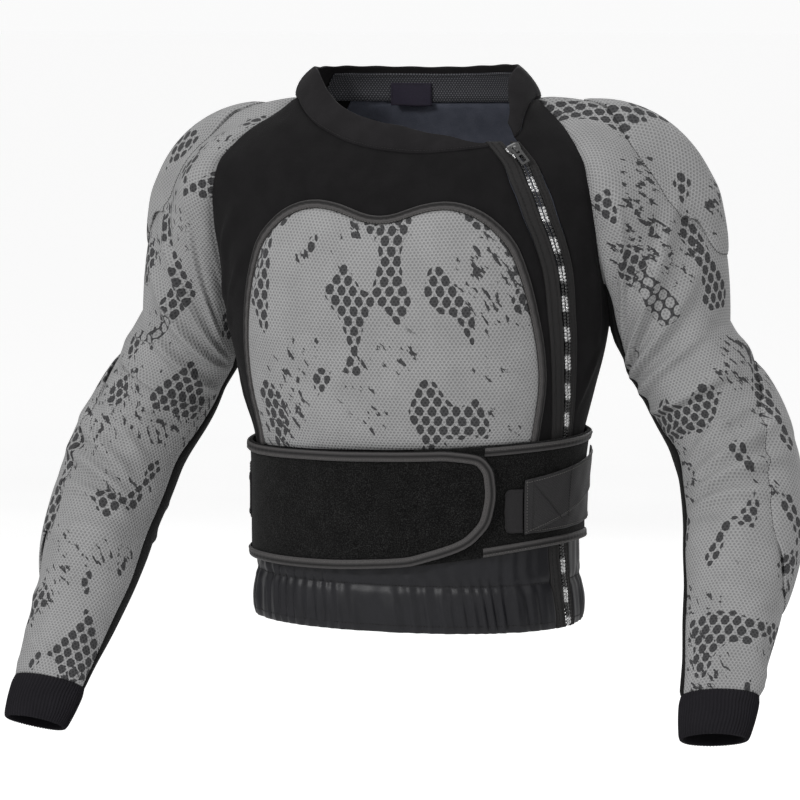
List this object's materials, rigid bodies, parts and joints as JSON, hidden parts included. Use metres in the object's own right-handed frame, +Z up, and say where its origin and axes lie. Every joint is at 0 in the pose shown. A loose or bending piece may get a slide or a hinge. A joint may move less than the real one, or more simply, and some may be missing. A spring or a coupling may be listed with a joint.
{
  "type": "body protector",
  "caption": "Long-sleeved padded protective jacket with chest, shoulder and elbow pads, kidney belt, gathered hem, ribbed cuffs and an off-centre front zip.",
  "frame": {"origin": "on the middle axis of the body, level with the sides of the neck seam, inside the neck opening", "axes": "+Z up along the body, the wearer faces -Y and has the left arm at +X"},
  "size_m": [0.7886, 0.3201, 0.6612],
  "materials": {
    "yoke": "black stretch jersey",
    "collar": "brownish black soft jersey",
    "mesh": "light grey air mesh with a darker print",
    "lining": "dark blue lining",
    "neck_mesh": "dark grey mesh",
    "label": "dark woven label, bare",
    "binding": "ribbed dark grey tape",
    "belt": "black loop velour",
    "strap": "dark grey elastic",
    "skirt": "bluish black smooth stretch",
    "knit": "ribbed knit",
    "zip": "glossy black"
  },
  "bodies": {
    "jacket": {"back_lining": "lining", "back_neck_mesh": "neck_mesh", "belt_binding_bottom": "binding", "belt_binding_right": "binding", "belt_binding_top": "binding", "belt_left": "belt", "belt_right": "belt", "body_back": "yoke", "body_front_left": "yoke", "body_front_right": "yoke", "chest_binding": "binding", "chest_pad": "mesh", "collar": "collar", "cuff_left": "knit", "cuff_right": "knit", "elbow_pad_left": "mesh", "elbow_pad_right": "mesh", "hem_skirt": "skirt", "neck_label": "label", "shoulder_pad_left": "mesh", "shoulder_pad_right": "mesh", "sleeve_top_left": "mesh", "sleeve_top_right": "mesh", "sleeve_under_left": "yoke", "sleeve_under_right": "yoke", "strap_left_lower": "strap", "strap_left_tab": "binding", "strap_left_upper": "strap", "strap_right": "strap", "strap_right_tab": "binding", "zip_chain": "zip", "zip_slider": "zip", "zip_tape_left": "binding", "zip_tape_right": "binding"},
    "pull": {"zip_pull": "zip"}
  },
  "joints": [
    {"name": "pull_swing", "type": "hinge", "parent": "jacket", "child": "pull", "pos_m": [0.12583, -0.08875, -0.04684], "axis": [-0.6973, -0.5679, -0.4374], "range_deg": [0, 150]}
  ]
}
